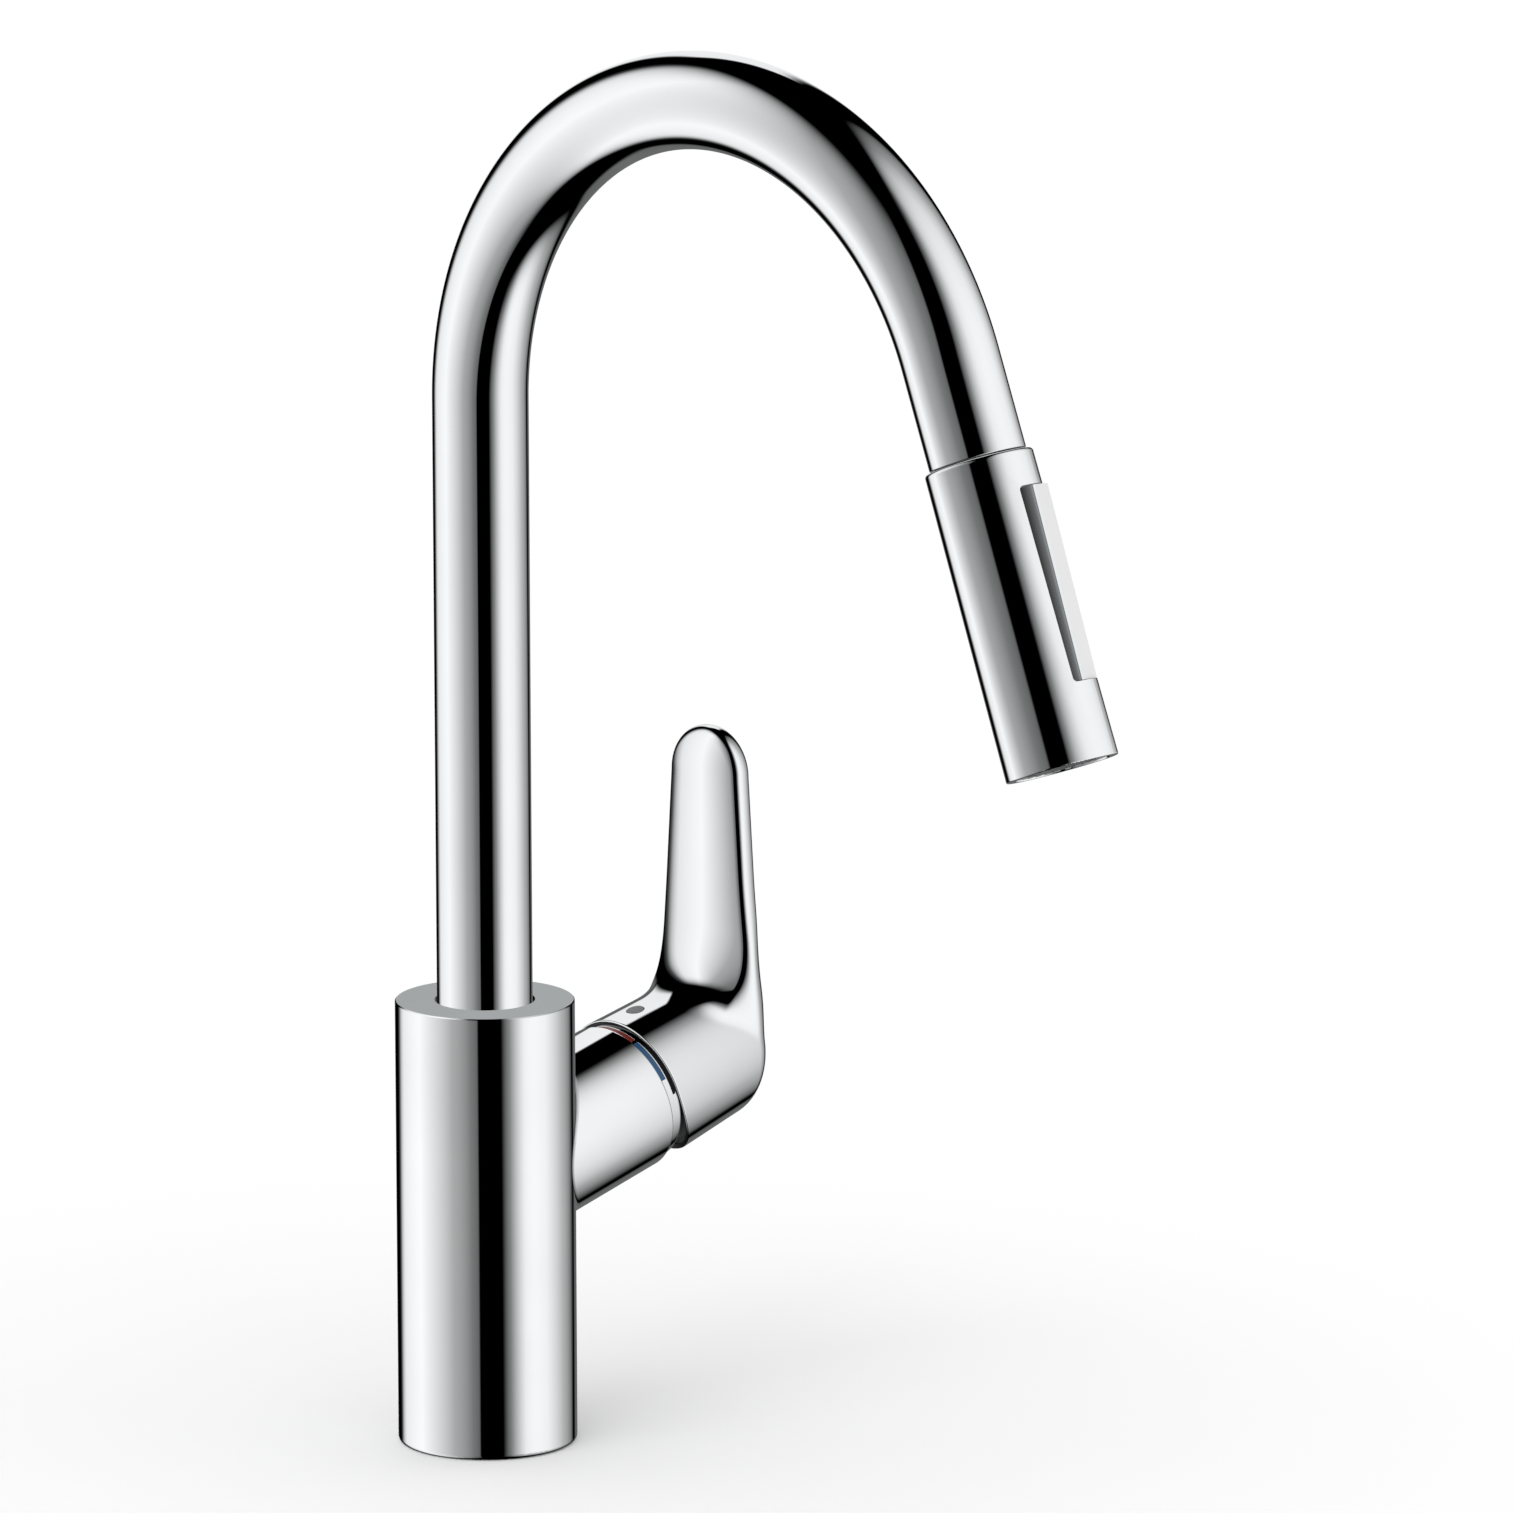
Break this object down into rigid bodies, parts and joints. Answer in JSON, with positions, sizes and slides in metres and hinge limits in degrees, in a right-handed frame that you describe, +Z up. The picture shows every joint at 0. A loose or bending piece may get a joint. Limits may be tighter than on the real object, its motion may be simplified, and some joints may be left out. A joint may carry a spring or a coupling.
{
  "type": "pull-out kitchen faucet",
  "caption": "Deck-mounted kitchen mixer with a high-arc swivel spout, a pull-out spray head with a rocker button, and a side lever on a raised arm",
  "frame": {"origin": "centre of the base's underside, on the worktop, on the axis of the body and the spout's swivel", "axes": "+Z up, the spout reaches towards -Y, the handle's arm stands out towards +X"},
  "size_m": [0.1199, 0.261, 0.5002],
  "materials": {
    "chrome": "polished chrome plate on brass",
    "brass": "machined brass",
    "steel": "zinc-plated or stainless steel",
    "rubber": "black rubber",
    "black_plastic": "black acetal",
    "white_plastic": "white acetal",
    "grey_plastic": "grey gloss plastic",
    "dark_grey_plastic": "dark grey plastic",
    "red_plastic": "red glossy plastic",
    "blue_plastic": "blue glossy plastic",
    "chromed_plastic": "chrome-plated plastic",
    "ceramic": "lapped ceramic",
    "hose_braid": "grey nylon braid over hose",
    "silicone": "light grey silicone"
  },
  "bodies": {
    "base": {"base_body": "chrome", "base_seal": "rubber", "threaded_shank": "brass", "worktop_washer": "rubber", "clamp_plate": "steel", "shank_nut": "brass", "clamp_screws": "steel", "gap_ring": "black_plastic", "swivel_stop_screw": "steel", "cartridge_base": "white_plastic", "port_seals": "rubber", "fixed_disc": "ceramic", "cartridge_housing": "white_plastic", "cartridge_nut": "brass", "index_ring": "chromed_plastic", "red_mark": "red_plastic", "blue_mark": "blue_plastic", "cover_ring": "chromed_plastic", "thrust_washer": "white_plastic"},
    "spout": {"spout_tube": "chrome", "spout_foot": "brass", "slide_rings": "white_plastic", "docking_sleeve": "black_plastic", "pull_out_hose": "hose_braid", "hose_coupling": "brass"},
    "driver": {"mixing_driver": "black_plastic", "pivot_pin": "steel"},
    "lever": {"lever_handle": "chrome", "handle_screw": "steel", "handle_plug": "grey_plastic", "cartridge_stem": "brass"},
    "valve_slider": {"moving_disc": "ceramic", "disc_carrier": "white_plastic"},
    "hose_end": {"hose_end_fitting": "brass"},
    "spray_head": {"head_shell": "chromed_plastic", "head_core": "white_plastic", "hose_nut": "black_plastic", "filter_washer": "rubber", "check_valve": "white_plastic", "rocker_pin": "steel", "spray_face": "dark_grey_plastic", "spray_nozzles": "silicone", "aerator": "grey_plastic"},
    "rocker": {"rocker_button": "chromed_plastic"},
    "diverter": {"diverter_spool": "white_plastic"}
  },
  "joints": [
    {"name": "spout_swivel", "type": "hinge", "parent": "base", "child": "spout", "pos_m": [0, 0, 0.1], "axis": [0, 0, 1], "range_deg": [-75, 75]},
    {"name": "temperature", "type": "hinge", "parent": "base", "child": "driver", "pos_m": [0.04651, 0, 0.08776], "axis": [0.969, 0, 0.247], "range_deg": [-50, 50]},
    {"name": "flow", "type": "hinge", "parent": "driver", "child": "lever", "pos_m": [0.04651, 0, 0.08776], "axis": [0, 1, 0], "range_deg": [0, 24]},
    {"name": "disc_slide", "type": "slide", "parent": "driver", "child": "valve_slider", "axis": [-0.247, 0, 0.969], "range_m": [0, 0.00383]},
    {"name": "head_pull_out", "type": "slide", "parent": "spout", "child": "hose_end", "axis": [0, -0.3649, -0.9311], "range_m": [0, 0.22], "deforming": ["pull_out_hose"]},
    {"name": "head_swivel", "type": "hinge", "parent": "hose_end", "child": "spray_head", "pos_m": [0, -0.18968, 0.30364], "axis": [0, -0.3649, -0.9311], "continuous": true},
    {"name": "rocker_tilt", "type": "hinge", "parent": "spray_head", "child": "rocker", "pos_m": [0.00333, -0.21098, 0.27192], "axis": [-0.9272, -0.3488, 0.1367], "range_deg": [0, 2.4]},
    {"name": "diverter_slide", "type": "slide", "parent": "spray_head", "child": "diverter", "axis": [-0.3746, 0.8633, -0.3383], "range_m": [0, 0.000734]}
  ],
  "couplings": [
    {"joint": "disc_slide", "follows": "flow", "m_per_rad": 0.009128},
    {"joint": "diverter_slide", "follows": "rocker_tilt", "m_per_rad": 0.017295}
  ]
}
